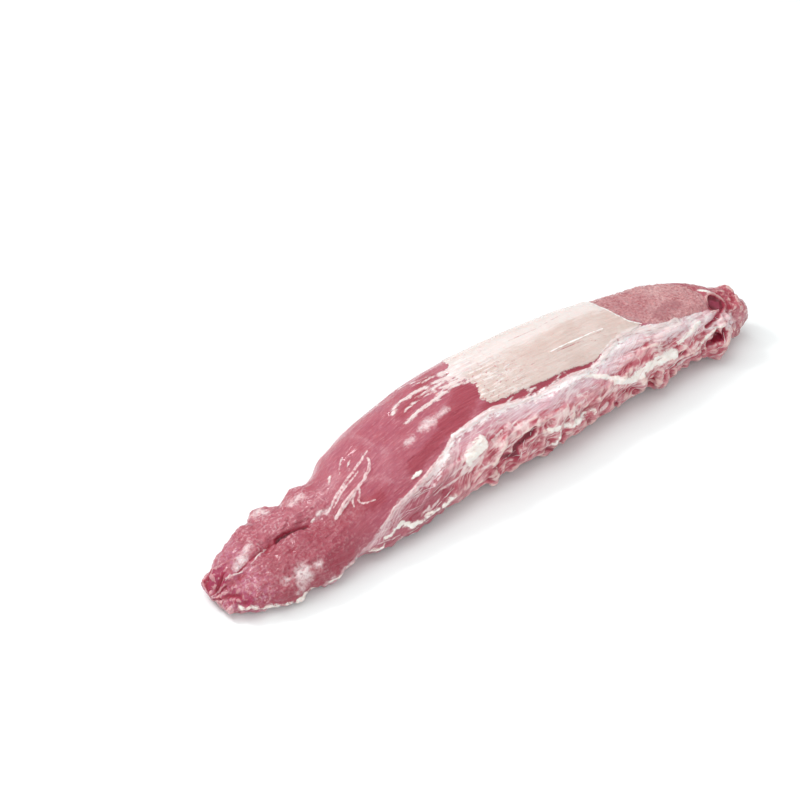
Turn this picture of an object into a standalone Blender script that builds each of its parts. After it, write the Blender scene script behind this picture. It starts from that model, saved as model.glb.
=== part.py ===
"""A whole raw pork tenderloin, untrimmed, with its side chain and its head end.

The muscle lies along X, tail at -X and head at +X, on a flat surface at Z = 0. The chain, a
stringy strap of fat and small muscle, runs along its -Y side. The origin is under the middle
of the bounding box. Lengths are in metres.
"""

import math
import random

import bmesh
import bpy
import numpy as np
from mathutils import noise

# Driving sizes of the whole cut
TAIL_X = -0.1755
HEAD_X = 0.166
END_ROUNDING = 0.010
SINK = 0.0015

# Sections of the whole outline: place along X, back edge in Y, chain edge in Y, height
SECTIONS = (
    (-0.1755, -0.003, -0.0265, 0.013),
    (-0.160, 0.005, -0.0350, 0.018),
    (-0.140, 0.009, -0.0392, 0.023),
    (-0.118, 0.013, -0.0375, 0.027),
    (-0.102, 0.016, -0.0350, 0.029),
    (-0.088, 0.0245, -0.0338, 0.033),
    (-0.060, 0.034, -0.0295, 0.038),
    (-0.025, 0.041, -0.0255, 0.042),
    (0.015, 0.043, -0.0242, 0.043),
    (0.060, 0.042, -0.0190, 0.0425),
    (0.100, 0.038, -0.0150, 0.0395),
    (0.130, 0.035, -0.0125, 0.036),
    (0.150, 0.027, -0.0110, 0.031),
    (0.166, 0.014, -0.006, 0.024),
)
CENTRE_HEIGHT_SHARE = 0.42
CROWN_SHIFT_SHARE = 0.15
# How square each quarter of the section is: 2 is an ellipse, less is nearer a straight slope
BACK_TOP_POWER = 2.3
CHAIN_TOP_POWER = 1.95
BACK_UNDER_POWER = 2.7
CHAIN_UNDER_POWER = 2.3

# The cleft between the tail's two lobes, as places along X with their Y and depth
CLEFT = (
    (-0.176, -0.0190, 0.0020),
    (-0.160, -0.0170, 0.0030),
    (-0.150, -0.0140, 0.0045),
    (-0.137, -0.0115, 0.0068),
    (-0.124, -0.0125, 0.0070),
    (-0.112, -0.0150, 0.0040),
    (-0.103, -0.0165, 0.0000),
)
CLEFT_VALLEY_WIDTH = 0.0075
CLEFT_SLIT_WIDTH = 0.0019
CLEFT_SLIT_SHARE = 0.60

# The flat face at the head, where the muscle was cut from the hip. It starts at a bowed edge,
# falls away toward the end and toward the back, and sinks in over a short step.
FACE_EDGE_X = 0.086
FACE_EDGE_Y = 0.027
FACE_EDGE_BOW = 19.0
FACE_HEIGHT = 0.0378
FACE_SLOPE = 0.120
FACE_BACK_SLOPE = 0.06
FACE_STEP = 0.004

# The chain: a strap from its upper border to its lower edge, both as angles round the section.
# The border starts low at the tail and climbs, as places along X with their angle in degrees.
CHAIN_START_X = -0.108
CHAIN_END_X = 0.158
CHAIN_BORDER = (
    (-0.108, 160),
    (-0.099, 157),
    (-0.074, 149),
    (-0.042, 133),
    (-0.010, 129),
    (0.060, 129),
    (0.158, 126),
)
CHAIN_FLOOR_ANGLE = math.radians(214)
CHAIN_THICKNESS = 0.0075
CHAIN_BULGE = 0.0004
CHAIN_TAPER = 0.040

STRAND_COUNT = 34
STRAND_LENGTH = (0.040, 0.110)
STRAND_RADIUS = (0.0012, 0.0023)
STRAND_POINTS = 18

# Small lobes and thin flaps hang in a row along the chain's lower edge
EDGE_LOBE_SPACING = 0.0064
EDGE_LOBE_RADIUS = (0.0026, 0.0056)
EDGE_LOBE_START_X = -0.096
FLAP_SHARE = 0.45

# Larger named lobes: centre, then radii along X, Y and Z
TAIL_LOBES = (
    ((-0.0815, 0.0150, 0.0150), (0.0160, 0.0105, 0.0150)),
    ((-0.1120, 0.0075, 0.0140), (0.0120, 0.0070, 0.0110)),
    ((-0.1315, 0.0085, 0.0125), (0.0085, 0.0082, 0.0090)),
    ((-0.1460, 0.0020, 0.0110), (0.0095, 0.0080, 0.0090)),
    ((-0.1600, -0.0010, 0.0080), (0.0080, 0.0060, 0.0070)),
    ((-0.1712, -0.0080, 0.0070), (0.0062, 0.0060, 0.0060)),
    ((-0.1715, -0.0165, 0.0050), (0.0050, 0.0045, 0.0048)),
    ((-0.1690, -0.0220, 0.0050), (0.0055, 0.0050, 0.0046)),
    ((-0.1580, -0.0300, 0.0050), (0.0080, 0.0044, 0.0042)),
    ((-0.1430, -0.0350, 0.0050), (0.0110, 0.0036, 0.0042)),
    ((-0.1250, -0.0340, 0.0050), (0.0080, 0.0034, 0.0045)),
)
FAT_LOBES = (
    ((-0.0270, -0.0215, 0.0290), (0.0100, 0.0030, 0.0045)),
    ((-0.0640, -0.0290, 0.0150), (0.0150, 0.0030, 0.0025)),
    ((0.0880, -0.0135, 0.0210), (0.0150, 0.0025, 0.0030)),
)
HEAD_LOBES = (
    ((0.1600, 0.0060, 0.0160), (0.0120, 0.0100, 0.0120)),
    ((0.1660, -0.0025, 0.0145), (0.0085, 0.0070, 0.0095)),
    ((0.1610, -0.0065, 0.0095), (0.0060, 0.0050, 0.0070)),
    ((0.1500, -0.0080, 0.0190), (0.0050, 0.0055, 0.0085)),
    ((0.1455, -0.0135, 0.0110), (0.0040, 0.0045, 0.0080)),
    ((0.1395, -0.0130, 0.0100), (0.0040, 0.0050, 0.0075)),
    ((0.1330, -0.0080, 0.0100), (0.0055, 0.0050, 0.0065)),
    ((0.1220, -0.0065, 0.0110), (0.0060, 0.0050, 0.0060)),
    ((0.1080, -0.0115, 0.0090), (0.0040, 0.0050, 0.0050)),
    ((0.0970, -0.0110, 0.0120), (0.0050, 0.0050, 0.0050)),
    ((0.0840, -0.0125, 0.0095), (0.0070, 0.0050, 0.0060)),
    ((0.0655, -0.0145, 0.0075), (0.0035, 0.0040, 0.0045)),
    ((0.0400, -0.0175, 0.0080), (0.0080, 0.0050, 0.0060)),
    ((0.0285, -0.0195, 0.0075), (0.0045, 0.0050, 0.0050)),
    ((0.0190, -0.0215, 0.0055), (0.0045, 0.0048, 0.0045)),
)

# The vein's open end and two creases beside it, cut into the head: centre, radii, turn about Z
HEAD_HOLLOWS = (
    ((0.1500, -0.0030, 0.0310), (0.0050, 0.0046, 0.0080), 0.0),
    ((0.1510, -0.0105, 0.0260), (0.0085, 0.0013, 0.0080), 75.0),
    ((0.1420, -0.0165, 0.0190), (0.0095, 0.0018, 0.0110), 70.0),
)

RINGS = 150
RING_POINTS = 96
VOXEL = 0.0013
SMOOTHING_STEPS = 2
TRIANGLES = 11200
LUMP_SIZE = 0.013
LUMP_HEIGHT = 0.0005
TAIL_LUMP_HEIGHT = 0.0018
TAIL_LUMPS_END_X = -0.085
TAIL_LUMPS_FADE = 0.030
SLAB = (0.5, 0.2, 0.02)
# The middle of the finished outline in X and Y, which is moved to the origin
MIDDLE = (-0.0013, 0.0021)
SEED = 7


def clear_scene():
    for obj in list(bpy.data.objects):
        bpy.data.objects.remove(obj, do_unlink=True)


def eased(share):
    """0 to 1 with a soft start and end."""
    share = np.clip(share, 0.0, 1.0)
    return share * share * (3.0 - 2.0 * share)


def curve_through(table, column, x):
    """A smooth curve through one column of a table whose first column is the place along X."""
    table = np.array(table, float)
    places, values = table[:, 0], table[:, column]
    slopes = np.gradient(values, places)
    x = np.clip(x, places[0], places[-1])
    i = np.clip(np.searchsorted(places, x) - 1, 0, len(places) - 2)
    span = places[i + 1] - places[i]
    t = (x - places[i]) / span
    return (
        values[i] * (1 + 2 * t) * (1 - t) ** 2
        + slopes[i] * span * t * (1 - t) ** 2
        + values[i + 1] * t * t * (3 - 2 * t)
        + slopes[i + 1] * span * t * t * (t - 1)
    )


def power_of(value, power):
    return np.sign(value) * np.abs(value) ** (2.0 / power)


def envelope(x, angle):
    """The outer skin at X, at an angle round it: 0 is the back, 90 degrees the top, 180 the chain."""
    back, chain, height = (curve_through(SECTIONS, column, x) for column in (1, 2, 3))
    from_end = np.minimum(x - TAIL_X, HEAD_X - x) / END_ROUNDING
    rounding = np.sqrt(1.0 - (1.0 - np.clip(from_end, 0.02, 1.0)) ** 2)
    half = (back - chain) / 2 * rounding
    crown = (back + chain) / 2 + CROWN_SHIFT_SHARE * half
    centre = height * CENTRE_HEIGHT_SHARE
    cosine, sine = np.cos(angle), np.sin(angle)
    top_power = np.where(cosine > 0, BACK_TOP_POWER, CHAIN_TOP_POWER)
    under_power = np.where(cosine > 0, BACK_UNDER_POWER, CHAIN_UNDER_POWER)
    power = np.where(sine > 0, top_power, under_power)
    reach = np.where(cosine > 0, 1.0 - CROWN_SHIFT_SHARE, 1.0 + CROWN_SHIFT_SHARE) * half
    rise = np.where(sine > 0, height - centre, centre + SINK) * rounding
    y = crown + reach * power_of(cosine, power)
    z = centre + rise * power_of(sine, power)
    return np.stack([x + 0 * y, y, z], axis=-1)


def chain_border(x):
    """The angle of the chain's upper border at X."""
    return np.radians(curve_through(CHAIN_BORDER, 1, x))


def chain_share(x):
    """How fully the chain is there at X: 0 beyond its ends, 1 along its middle."""
    return eased((x - CHAIN_START_X) / CHAIN_TAPER) * eased((CHAIN_END_X - x) / 0.012)


def carve(points):
    """Sinks the cleft into the tail, and flattens the head's cut face."""
    x, y, z = points[..., 0], points[..., 1], points[..., 2]
    middle = curve_through(CLEFT, 1, x)
    depth = curve_through(CLEFT, 2, x)
    off = y - middle
    valley = (1 - CLEFT_SLIT_SHARE) * np.exp(-((off / CLEFT_VALLEY_WIDTH) ** 2))
    slit = CLEFT_SLIT_SHARE * np.exp(-((off / CLEFT_SLIT_WIDTH) ** 2))
    z = z - depth * (valley + slit) * (z > 0.004)
    edge = FACE_EDGE_X + FACE_EDGE_BOW * np.minimum(y - FACE_EDGE_Y, 0) ** 2
    face = FACE_HEIGHT - FACE_SLOPE * (x - FACE_EDGE_X) - FACE_BACK_SLOPE * np.maximum(y, 0)
    sunk = np.maximum(z - face, 0) * eased((x - edge) / FACE_STEP)
    return np.stack([x, y, z - sunk], axis=-1)


def loft(name, rings):
    """A closed mesh object through rings of points, which all have the same number of points."""
    mesh = bpy.data.meshes.new(name)
    count, around = rings.shape[:2]
    faces = [
        (
            i * around + j,
            i * around + (j + 1) % around,
            (i + 1) * around + (j + 1) % around,
            (i + 1) * around + j,
        )
        for i in range(count - 1)
        for j in range(around)
    ]
    faces += [tuple(range(around))[::-1], tuple(range((count - 1) * around, count * around))]
    mesh.from_pydata(rings.reshape(-1, 3).tolist(), [], faces)
    work = bmesh.new()
    work.from_mesh(mesh)
    bmesh.ops.recalc_face_normals(work, faces=work.faces)
    work.to_mesh(mesh)
    work.free()
    obj = bpy.data.objects.new(name, mesh)
    bpy.context.scene.collection.objects.link(obj)
    return obj


def muscle():
    """The tenderloin itself: the whole outline, drawn in where the chain lies against it."""
    steps = np.linspace(0.0, math.pi, RINGS)
    x = TAIL_X + (HEAD_X - TAIL_X) * (1.0 - np.cos(steps)) / 2
    angle = np.linspace(0.0, 2 * math.pi, RING_POINTS, endpoint=False)
    x, angle = np.meshgrid(x, angle, indexing="ij")
    points = envelope(x, angle)
    axis = envelope(x, 0 * angle + math.pi / 2)
    axis[..., 2] *= CENTRE_HEIGHT_SHARE
    inward = axis - points
    inward /= np.linalg.norm(inward, axis=-1, keepdims=True) + 1e-9
    below_border = eased((angle - chain_border(x)) / 0.25)
    under_chain = below_border * eased((CHAIN_FLOOR_ANGLE + 0.5 - angle) / 0.3)
    drawn_in = 0.7 * CHAIN_THICKNESS * chain_share(x) * under_chain
    return loft("muscle", carve(points + inward * drawn_in[..., None]))


def on_chain(x, share, outward=0.0):
    """A point on the chain's face: share 0 is its upper border, 1 its lower edge."""
    border = chain_border(x)
    angle = border + (CHAIN_FLOOR_ANGLE - border) * share
    here = envelope(np.array(x), np.array(angle))
    nearby = envelope(np.array(x), np.array(angle + 0.02))
    along = nearby - here
    normal = np.stack([0 * along[..., 0], along[..., 2], -along[..., 1]], axis=-1)
    normal /= np.linalg.norm(normal, axis=-1, keepdims=True) + 1e-12
    return here + normal * np.array(outward)[..., None]


def chain_strap():
    """The chain's body: a lens-shaped strap whose outer face bulges a little past the outline."""
    across, rings = 16, 90
    x = np.linspace(CHAIN_START_X, CHAIN_END_X, rings)[:, None]
    out = np.linspace(0.0, 1.0, across)[None, :]
    bulge = CHAIN_BULGE * np.sin(math.pi * out) * chain_share(x)
    outer = on_chain(x + 0 * out, out + 0 * x, bulge)
    inner = on_chain(x + 0 * out, out + 0 * x, -CHAIN_THICKNESS * (0.3 + np.sin(math.pi * out)) + 0 * x)
    return loft("chain_strap", np.concatenate([outer, inner[:, ::-1]], axis=1))


def strand(name, points, radius):
    """A tapering string of muscle or fat, as a bevelled curve."""
    data = bpy.data.curves.new(name, "CURVE")
    data.dimensions = "3D"
    data.bevel_depth = radius
    data.bevel_resolution = 2
    data.use_fill_caps = True
    spline = data.splines.new("POLY")
    spline.points.add(len(points) - 1)
    for i, place in enumerate(points):
        spline.points[i].co = (*place, 1.0)
        spline.points[i].radius = 0.25 + 0.75 * math.sin(math.pi * (i + 0.5) / len(points))
    obj = bpy.data.objects.new(name, data)
    bpy.context.scene.collection.objects.link(obj)
    return obj


def chain_strands(rng):
    """Strings that lie along the chain, sunk to about half their thickness."""
    made = []
    for i in range(STRAND_COUNT):
        length = rng.uniform(*STRAND_LENGTH)
        start = rng.uniform(CHAIN_START_X + 0.010, CHAIN_END_X - length)
        share = 0.12 + 0.86 * ((i + 0.5) / STRAND_COUNT) ** 0.75
        drift = rng.uniform(-0.16, 0.16)
        radius = rng.uniform(*STRAND_RADIUS)
        phase = rng.uniform(0.0, 6.0)
        t = np.linspace(0.0, 1.0, STRAND_POINTS)
        wave = 0.020 * np.sin(phase + 8.0 * t)
        shares = np.clip(share + drift * (t - 0.5) + wave, 0.02, 0.98)
        lift = radius * rng.uniform(0.5, 1.1)
        made.append(strand(f"strand_{i}", on_chain(start + length * t, shares, lift), radius))
    return made


def lobe(name, centre, radii, turn=(0.0, 0.0, 0.0)):
    """A small rounded lump of meat or fat."""
    bpy.ops.mesh.primitive_uv_sphere_add(segments=20, ring_count=12, radius=1.0, location=centre)
    obj = bpy.context.object
    obj.name = name
    obj.rotation_euler = turn
    obj.scale = radii
    return obj


def edge_lobes(rng):
    """The ragged row along the chain's lower edge, each lobe turned and sized a little differently."""
    made = []
    x = EDGE_LOBE_START_X
    while x < CHAIN_END_X - 0.008:
        size = rng.uniform(*EDGE_LOBE_RADIUS) * (0.75 + 0.25 * float(eased((x + 0.09) / 0.10)))
        centre = on_chain(x, rng.uniform(0.55, 0.97), rng.uniform(-0.50, 0.15) * size)
        centre[2] = max(centre[2], 0.45 * size)
        radii = (size * rng.uniform(0.7, 1.7), size * rng.uniform(0.8, 1.15), size)
        turn = (rng.uniform(-0.5, 0.5), rng.uniform(-0.5, 0.5), rng.uniform(-0.6, 0.6))
        made.append(lobe(f"edge_lobe_{len(made)}", centre, radii, turn))
        if rng.random() < FLAP_SHARE:
            centre[1] -= 0.30 * size
            radii = (size * rng.uniform(0.9, 1.4), size * 0.95, 0.0015)
            turn = (rng.uniform(0.3, 1.3), rng.uniform(-0.5, 0.5), rng.uniform(-0.7, 0.7))
            made.append(lobe(f"edge_lobe_{len(made)}", centre, radii, turn))
        x += EDGE_LOBE_SPACING * rng.uniform(0.6, 1.5)
    return made


def named_lobes():
    return [lobe(f"lobe_{i}", *sizes) for i, sizes in enumerate(TAIL_LOBES + FAT_LOBES + HEAD_LOBES)]


def joined(name, pieces):
    """One mesh object that holds the evaluated meshes of all the pieces, which are then removed."""
    bpy.context.view_layer.update()
    graph = bpy.context.evaluated_depsgraph_get()
    work = bmesh.new()
    for piece in pieces:
        mesh = bpy.data.meshes.new_from_object(piece.evaluated_get(graph))
        mesh.transform(piece.matrix_world)
        work.from_mesh(mesh)
    bmesh.ops.remove_doubles(work, verts=work.verts, dist=1e-6)
    mesh = bpy.data.meshes.new(name)
    work.to_mesh(mesh)
    work.free()
    for piece in pieces:
        bpy.data.objects.remove(piece, do_unlink=True)
    obj = bpy.data.objects.new(name, mesh)
    bpy.context.scene.collection.objects.link(obj)
    return obj


def fuse(obj):
    """Grows the overlapping pieces into one skin, and gives it soft lumps."""
    remesh = obj.modifiers.new("one skin", "REMESH")
    remesh.mode = "VOXEL"
    remesh.voxel_size = VOXEL
    smooth = obj.modifiers.new("soften", "SMOOTH")
    smooth.factor = 0.5
    smooth.iterations = SMOOTHING_STEPS
    bpy.context.view_layer.update()
    graph = bpy.context.evaluated_depsgraph_get()
    skin = bpy.data.meshes.new_from_object(obj.evaluated_get(graph))
    obj.modifiers.clear()
    obj.data = skin
    places = [vertex.co.copy() for vertex in skin.vertices]
    normals = [vertex.normal.copy() for vertex in skin.vertices]
    lumpy = []
    for place, normal in zip(places, normals):
        tail = float(eased((TAIL_LUMPS_END_X - place.x) / TAIL_LUMPS_FADE))
        height = LUMP_HEIGHT + (TAIL_LUMP_HEIGHT - LUMP_HEIGHT) * tail
        lumpy.extend(place + normal * height * noise.noise(place / LUMP_SIZE))
    skin.vertices.foreach_set("co", lumpy)
    skin.update()


def thin_out(obj):
    """Brings the skin of quads down to a light mesh that keeps its ridges."""
    decimate = obj.modifiers.new("fewer faces", "DECIMATE")
    decimate.ratio = TRIANGLES / (2 * len(obj.data.polygons))
    decimate.use_collapse_triangulate = True


def base_cutter():
    """A slab under Z = 0, which levels the underside that rests on the board."""
    bpy.ops.mesh.primitive_cube_add(size=1.0, location=(0.0, 0.0, -SLAB[2] / 2))
    slab = bpy.context.object
    slab.name = "base_cutter"
    slab.scale = SLAB
    return slab


def head_cutters():
    return [
        lobe(f"hollow_cutter_{i}", centre, radii, (0.0, 0.0, math.radians(turn)))
        for i, (centre, radii, turn) in enumerate(HEAD_HOLLOWS)
    ]


def cut(obj, cutters, helpers):
    """Takes everything in the cutters' collection out of the solid."""
    for cutter in cutters:
        cutter.hide_render = True
        cutter.display_type = "WIRE"
    boolean = obj.modifiers.new("hollows and base", "BOOLEAN")
    boolean.operation = "DIFFERENCE"
    boolean.operand_type = "COLLECTION"
    boolean.collection = helpers


def shelve(objects, name):
    """Moves the objects into a new collection of that name."""
    shelf = bpy.data.collections.new(name)
    bpy.context.scene.collection.children.link(shelf)
    for obj in objects:
        for owner in list(obj.users_collection):
            owner.objects.unlink(obj)
        shelf.objects.link(obj)
    return shelf


def raw_pork():
    material = bpy.data.materials.new("raw pork")
    material.use_nodes = True
    surface = material.node_tree.nodes["Principled BSDF"]
    surface.inputs["Base Color"].default_value = (0.46, 0.13, 0.16, 1.0)
    surface.inputs["Roughness"].default_value = 0.35
    surface.inputs["Metallic"].default_value = 0.0
    return material


def main():
    clear_scene()
    rng = random.Random(SEED)
    pieces = [muscle(), chain_strap(), *chain_strands(rng), *edge_lobes(rng), *named_lobes()]
    tenderloin = joined("tenderloin", pieces)
    fuse(tenderloin)
    tenderloin.data.shade_smooth()
    tenderloin.data.materials.clear()
    tenderloin.data.materials.append(raw_pork())

    cutters = [base_cutter(), *head_cutters()]
    thin_out(tenderloin)
    cut(tenderloin, cutters, shelve(cutters, "cutters"))

    middle = bpy.data.objects.new("middle of the outline", None)
    middle.location = (-MIDDLE[0], -MIDDLE[1], 0.0)
    shelve([tenderloin, middle], "pork tenderloin")
    for obj in [tenderloin, *cutters]:
        obj.parent = middle


main()
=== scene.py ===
# %% [markdown]
# # A whole raw pork tenderloin
#
# A tenderloin is one long, tapering muscle. Fresh from the butcher it still has its chain, a
# stringy strap of fat and small muscle along one side, a patch of silverskin on top, and a flat
# face at the head where it was cut from the hip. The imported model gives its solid. This file
# gives it the surface of real meat: strands, lobes, films, marbling and a wet gloss.

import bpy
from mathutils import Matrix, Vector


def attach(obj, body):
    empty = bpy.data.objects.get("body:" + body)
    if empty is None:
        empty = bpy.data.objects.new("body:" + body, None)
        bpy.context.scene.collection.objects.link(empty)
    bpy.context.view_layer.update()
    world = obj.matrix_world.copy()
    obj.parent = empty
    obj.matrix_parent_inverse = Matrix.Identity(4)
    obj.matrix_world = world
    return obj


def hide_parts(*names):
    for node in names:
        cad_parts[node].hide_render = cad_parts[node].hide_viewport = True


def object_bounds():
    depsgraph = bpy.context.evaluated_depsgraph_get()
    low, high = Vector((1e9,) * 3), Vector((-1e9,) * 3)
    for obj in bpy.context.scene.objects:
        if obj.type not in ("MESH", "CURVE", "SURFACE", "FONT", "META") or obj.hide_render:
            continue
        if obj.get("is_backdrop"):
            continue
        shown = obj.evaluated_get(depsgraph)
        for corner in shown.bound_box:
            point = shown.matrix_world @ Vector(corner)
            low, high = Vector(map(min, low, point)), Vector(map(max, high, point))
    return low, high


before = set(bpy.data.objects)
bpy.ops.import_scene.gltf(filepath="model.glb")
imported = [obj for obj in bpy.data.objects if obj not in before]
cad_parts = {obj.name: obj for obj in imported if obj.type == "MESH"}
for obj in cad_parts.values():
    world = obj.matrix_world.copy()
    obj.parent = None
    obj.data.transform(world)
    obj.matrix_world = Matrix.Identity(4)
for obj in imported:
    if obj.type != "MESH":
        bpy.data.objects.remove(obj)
cad_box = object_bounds()
print("solid, in mm:", [round((high - low) * 1000, 1) for low, high in zip(*cad_box)])

# %% [markdown]
# Blender's own modules do the rest. Sizes below are in millimetres, because that is how a piece
# of meat is measured, and MM turns them into Blender's metres.

# %% Modules and units
import math
import random

import bmesh
import bpy
import numpy as np
from mathutils import Vector
from mathutils.bvhtree import BVHTree

MM = 0.001
low_corner, high_corner = (np.array(corner) / MM for corner in cad_box)

# %% [markdown]
# ## Places on the skin
#
# A map of the meat needs two numbers: how far along the muscle a place is, and at what angle
# round it. The angle is 0 at the back, 90 on top, 180 at the chain and 270 underneath. Both are
# measured from an axis through the middle of the muscle, which comes from slices of the solid.

# %% Measure the muscle's axis from slices of the solid
SLICE = 4
SLICE_REACH = 1.3 * SLICE
AXIS_HEIGHT = 0.42
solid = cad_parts["tenderloin"]
corners = np.array([vertex.co for vertex in solid.data.vertices]) / MM
slice_x = np.arange(low_corner[0], high_corner[0], SLICE)
slices = [corners[abs(corners[:, 0] - x) < SLICE_REACH] for x in slice_x]


def smoothed(values, window=7):
    """A running mean with soft ends."""
    weights = np.hanning(window + 2)[1:-1]
    padded = np.pad(values, window // 2, mode="edge")
    return np.convolve(padded, weights / weights.sum(), "valid")


axis_y = smoothed([(part[:, 1].min() + part[:, 1].max()) / 2 for part in slices])
axis_z = smoothed([part[:, 2].max() * AXIS_HEIGHT for part in slices])
half_width = smoothed([(np.ptp(part[:, 1]) + part[:, 2].max()) / 4 for part in slices])
print("mean half width, in mm:", round(float(half_width.mean()), 1))

# %% [markdown]
# `map_of` turns points into map places, and `on_skin` goes the other way: it shoots a ray from
# outside toward the axis and stops where the ray meets the skin. Everything that lies on the
# meat is placed with it, so a strand drawn on the map follows the real surface.

# %% Turn points into map places and back
FAR = 200
skin_rays = BVHTree.FromObject(solid, bpy.context.evaluated_depsgraph_get())


def axis_at(along):
    """Where the axis is at a place along the muscle, across and up."""
    return np.interp(along, slice_x, axis_y), np.interp(along, slice_x, axis_z)


def map_of(points):
    """Along in mm, and the angle round the axis in degrees, from -90 to 270."""
    along = points[:, 0]
    middle_y, middle_z = axis_at(along)
    angle = np.degrees(np.arctan2(points[:, 2] - middle_z, points[:, 1] - middle_y))
    return along, np.where(angle < -90, angle + 360, angle)


def on_skin(along, angle, lift=0.0):
    """The point on the skin at a map place, lifted outwards by some mm."""
    turn = math.radians(angle)
    out = Vector((0.0, math.cos(turn), math.sin(turn)))
    middle = Vector((along, *axis_at(along)))
    hit = skin_rays.ray_cast((middle + out * FAR) * MM, -out)[0]
    return middle if hit is None else hit / MM + out * lift


print("top of the skin half way:", [round(x, 1) for x in on_skin(0.0, 90)])

# %% [markdown]
# ## A helper for nodes
#
# Geometry Nodes and materials are both built from nodes, so one function serves both: it adds a
# node, sets its options, and fills each input with either a value or another node's output. A
# node given for an input stands for its first output.

# %% Add one node with its settings and links


def fill(node, inputs):
    """Gives each input of a node its value, or links it to an output."""
    for name, value in inputs.items():
        value = value.outputs[0] if isinstance(value, bpy.types.Node) else value
        if isinstance(value, bpy.types.NodeSocket):
            node.id_data.links.new(value, node.inputs[name])
        else:
            node.inputs[name].default_value = value
    return node


def add(tree, kind, inputs=None, **options):
    """Adds a node to a tree."""
    node = tree.nodes.new(kind)
    for name, value in options.items():
        setattr(node, name, value)
    return fill(node, inputs or {})


# %% [markdown]
# A Geometry Nodes tree starts with its named inputs, and ends in real geometry with a material.
# `run_tree` puts it on an object, sets the inputs by their identifiers, takes the finished mesh
# out and drops the modifier again.

# %% Start a Geometry Nodes tree, end it, and run it on an object


def start_tree(name, sizes):
    """A tree with one named input for each size, and the outputs of its input node."""
    tree = bpy.data.node_groups.new(name, "GeometryNodeTree")
    for way in ("INPUT", "OUTPUT"):
        tree.interface.new_socket("Geometry", in_out=way, socket_type="NodeSocketGeometry")
    for label, value in sizes.items():
        kind = "NodeSocketInt" if isinstance(value, int) else "NodeSocketFloat"
        kind = "NodeSocketMaterial" if value is None else kind
        socket = tree.interface.new_socket(label, in_out="INPUT", socket_type=kind)
        if value is not None:
            socket.default_value = value
    return tree, tree.nodes.new("NodeGroupInput").outputs


def end_tree(tree, geometry, finish):
    """Ends a tree in real geometry that has its material."""
    real = add(tree, "GeometryNodeRealizeInstances", {0: geometry})
    finished = add(tree, "GeometryNodeSetMaterial", {"Geometry": real, "Material": finish})
    add(tree, "NodeGroupOutput", {0: finished})


def evaluated_mesh(obj):
    """The object's mesh with its modifiers applied."""
    bpy.context.view_layer.update()
    graph = bpy.context.evaluated_depsgraph_get()
    return bpy.data.meshes.new_from_object(obj.evaluated_get(graph), depsgraph=graph)


def run_tree(obj, tree, sizes):
    """The mesh that the tree makes from the object, with these sizes."""
    modifier = obj.modifiers.new(tree.name, "NODES")
    modifier.node_group = tree
    for item in tree.interface.items_tree:
        if item.item_type == "SOCKET" and item.in_out == "INPUT" and item.name in sizes:
            modifier[item.identifier] = sizes[item.name]
    mesh = evaluated_mesh(obj)
    obj.modifiers.remove(modifier)
    return mesh


# %% [markdown]
# Colours are written as sRGB hex values, as a paint or photo program shows them, and turned
# into the linear light that Blender's shaders work in.

# %% Turn a hex colour into linear light


def colour(text):
    """Linear RGBA from an sRGB hex value."""
    values = [int(text[i:i + 2], 16) / 255.0 for i in (0, 2, 4)]
    linear = [v / 12.92 if v <= 0.04045 else ((v + 0.055) / 1.055) ** 2.4 for v in values]
    return (*linear, 1.0)


# %% [markdown]
# ## The map of the meat
#
# These are the places of each tissue on the map: along in mm, and the angle in degrees. The
# silverskin is a patch on top with a straight rim at the head. The cut face lies beyond it. The
# chain starts at a border that runs the whole length, low at the tail and high at the head, and
# its foot lies under the meat.

# %% Borders of the silverskin, the cut face and the chain
SILVERSKIN = (
    (-12, 66), (-8, 78), (-5, 92), (-4, 104), (-8, 117), (-4, 127), (12, 129), (26, 132),
    (42, 132), (57, 138), (64, 138), (71, 132), (80, 126), (92, 122), (101, 116), (95, 104),
    (92, 90), (90, 66), (88, 48), (86, 20), (70, 4), (30, 2), (4, 14), (-6, 40),
)
CUT_FACE = (
    (87, 20), (89, 48), (91, 66), (93, 90), (96, 103), (102, 114), (108, 122), (120, 129),
    (134, 128), (145, 127), (149, 108), (150, 87), (148, 58), (140, 36), (114, 22),
)
CHAIN_BORDER = (
    (-176, 200), (-101, 180), (-86, 166), (-78, 161), (-71, 159), (-58, 155), (-50, 151),
    (-43, 147), (-36, 140), (-32, 134), (-20, 133), (-6, 132), (6, 135), (23, 140), (45, 139),
    (58, 142), (69, 135), (88, 121), (97, 113), (108, 121), (124, 126), (145, 126), (165, 136),
)
CHAIN_FOOT = 226
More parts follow.
